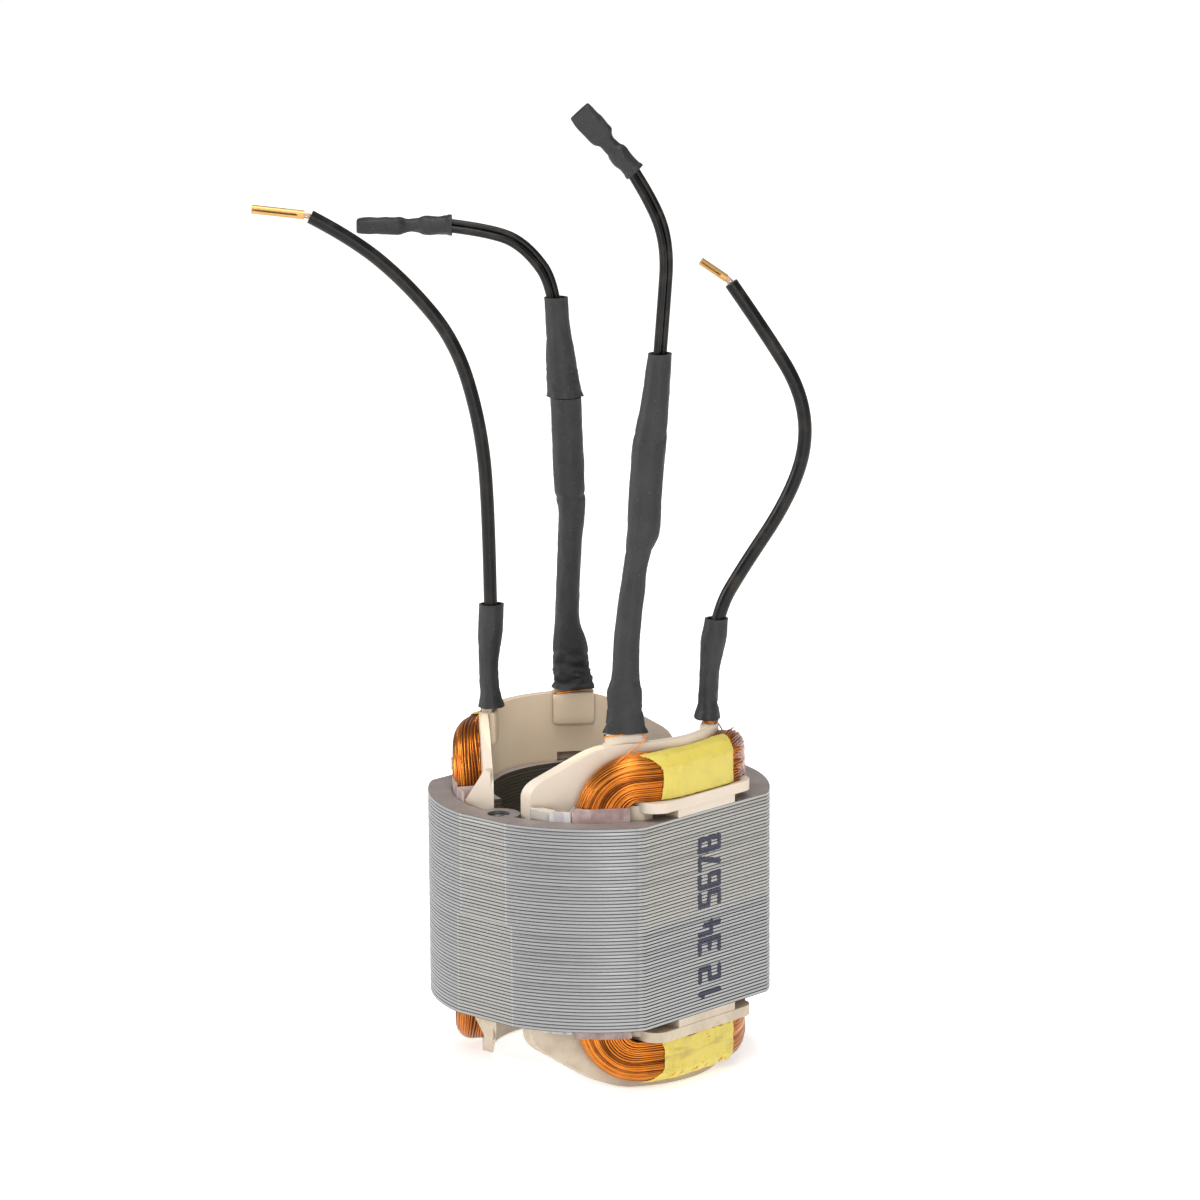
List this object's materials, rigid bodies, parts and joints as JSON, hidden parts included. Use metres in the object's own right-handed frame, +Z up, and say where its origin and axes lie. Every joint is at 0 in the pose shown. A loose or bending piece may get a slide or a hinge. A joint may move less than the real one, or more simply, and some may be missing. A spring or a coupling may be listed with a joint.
{
  "type": "wound universal motor stator",
  "caption": "Two-pole wound field stator of a small universal motor: a laminated steel stack, copper coils in plastic end insulators, and standing leads with terminals.",
  "frame": {"origin": "on the bore axis, at the lowest tips of the bottom insulator walls", "axes": "+Z up along the bore axis towards the lead end; +X towards one side flat; -Y towards a screw hole"},
  "size_m": [0.0651, 0.0555, 0.1425],
  "materials": {
    "lamination_steel": "satin, sheet edges visible",
    "insulator_plastic": "satin cream",
    "magnet_wire": "copper under clear enamel",
    "tape": "satin pale yellow",
    "liner_film": "translucent, pinkish",
    "strip_film": "translucent, whitish",
    "shrink_sleeve": "matte charcoal",
    "lead_insulation": "semi-gloss black",
    "terminal_metal": "plain",
    "pin_metal": "plain"
  },
  "bodies": {
    "root": {"lamination_pack_lower": "lamination_steel", "lamination_pack_upper": "lamination_steel", "insulator_top_right": "insulator_plastic", "tape_top_right": "tape", "insulator_top_left": "insulator_plastic", "tape_top_left": "tape", "insulator_bottom_right": "insulator_plastic", "tape_bottom_right": "tape", "insulator_bottom_left": "insulator_plastic", "tape_bottom_left": "tape", "field_coil_right": "magnet_wire", "field_coil_left": "magnet_wire", "slot_liner_right_front": "liner_film", "slot_strip_right_front": "strip_film", "slot_liner_right_back": "liner_film", "slot_strip_right_back": "strip_film", "slot_liner_left_front": "liner_film", "slot_strip_left_front": "strip_film", "slot_liner_left_back": "liner_film", "slot_strip_left_back": "strip_film", "sleeve_a": "shrink_sleeve", "sleeve_b": "shrink_sleeve", "sleeve_b_upper": "shrink_sleeve", "sleeve_c": "shrink_sleeve", "sleeve_d": "shrink_sleeve", "lead_wire_a": "lead_insulation", "lead_wire_b_one": "lead_insulation", "lead_wire_b_two": "lead_insulation", "lead_wire_c_one": "lead_insulation", "lead_wire_c_two": "lead_insulation", "lead_wire_d": "lead_insulation", "terminal_sleeve_b": "shrink_sleeve", "terminal_b": "terminal_metal", "terminal_sleeve_c": "shrink_sleeve", "terminal_c": "terminal_metal", "pin_a": "pin_metal", "pin_d": "pin_metal", "tail_wrap_a": "magnet_wire", "tail_wrap_b": "magnet_wire", "tail_wrap_c": "magnet_wire", "tail_wrap_d": "magnet_wire"}
  },
  "joints": []
}
